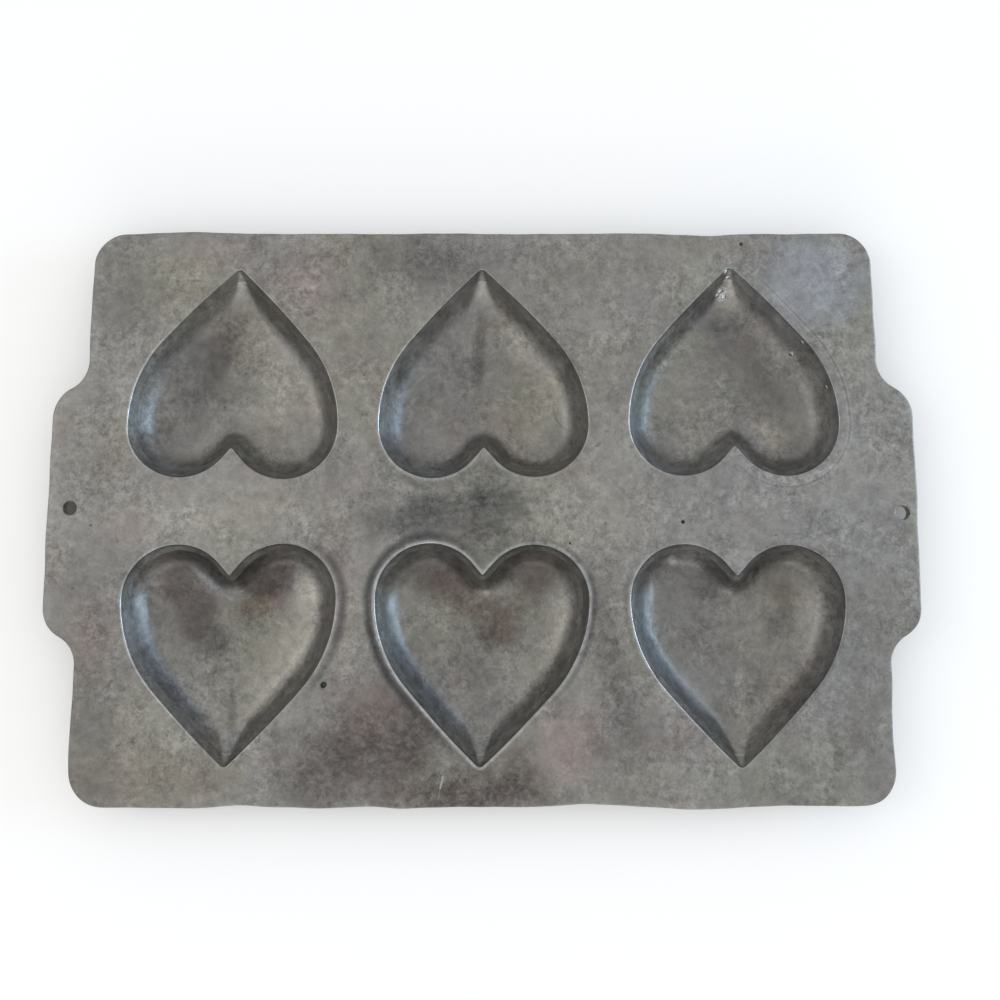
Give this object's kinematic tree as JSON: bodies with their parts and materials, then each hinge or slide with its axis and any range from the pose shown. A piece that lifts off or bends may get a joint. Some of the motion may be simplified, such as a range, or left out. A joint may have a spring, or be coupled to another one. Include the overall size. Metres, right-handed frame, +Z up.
{
  "type": "heart baking mould",
  "caption": "Cast aluminium baking tray: a flat plate with a holed tab at each end, and shallow heart-shaped cups hanging below it.",
  "frame": {"origin": "centre of the tray, on the plane that the feet of its cups rest on", "axes": "+X along the tray from the left tab to the right tab, +Y from the front row of cups to the rear row, +Z up out of the cups"},
  "size_m": [0.33, 0.216, 0.0165],
  "materials": {
    "plate_aluminium": "cast, dull and stained, worn bright on the edges",
    "cup_aluminium": "cast, dull, slightly smoother than the plate"
  },
  "bodies": {
    "root": {"tray_plate": "plate_aluminium", "heart_cup_rear_left": "cup_aluminium", "heart_cup_rear_centre": "cup_aluminium", "heart_cup_rear_right": "cup_aluminium", "heart_cup_front_left": "cup_aluminium", "heart_cup_front_centre": "cup_aluminium", "heart_cup_front_right": "cup_aluminium"}
  },
  "joints": []
}
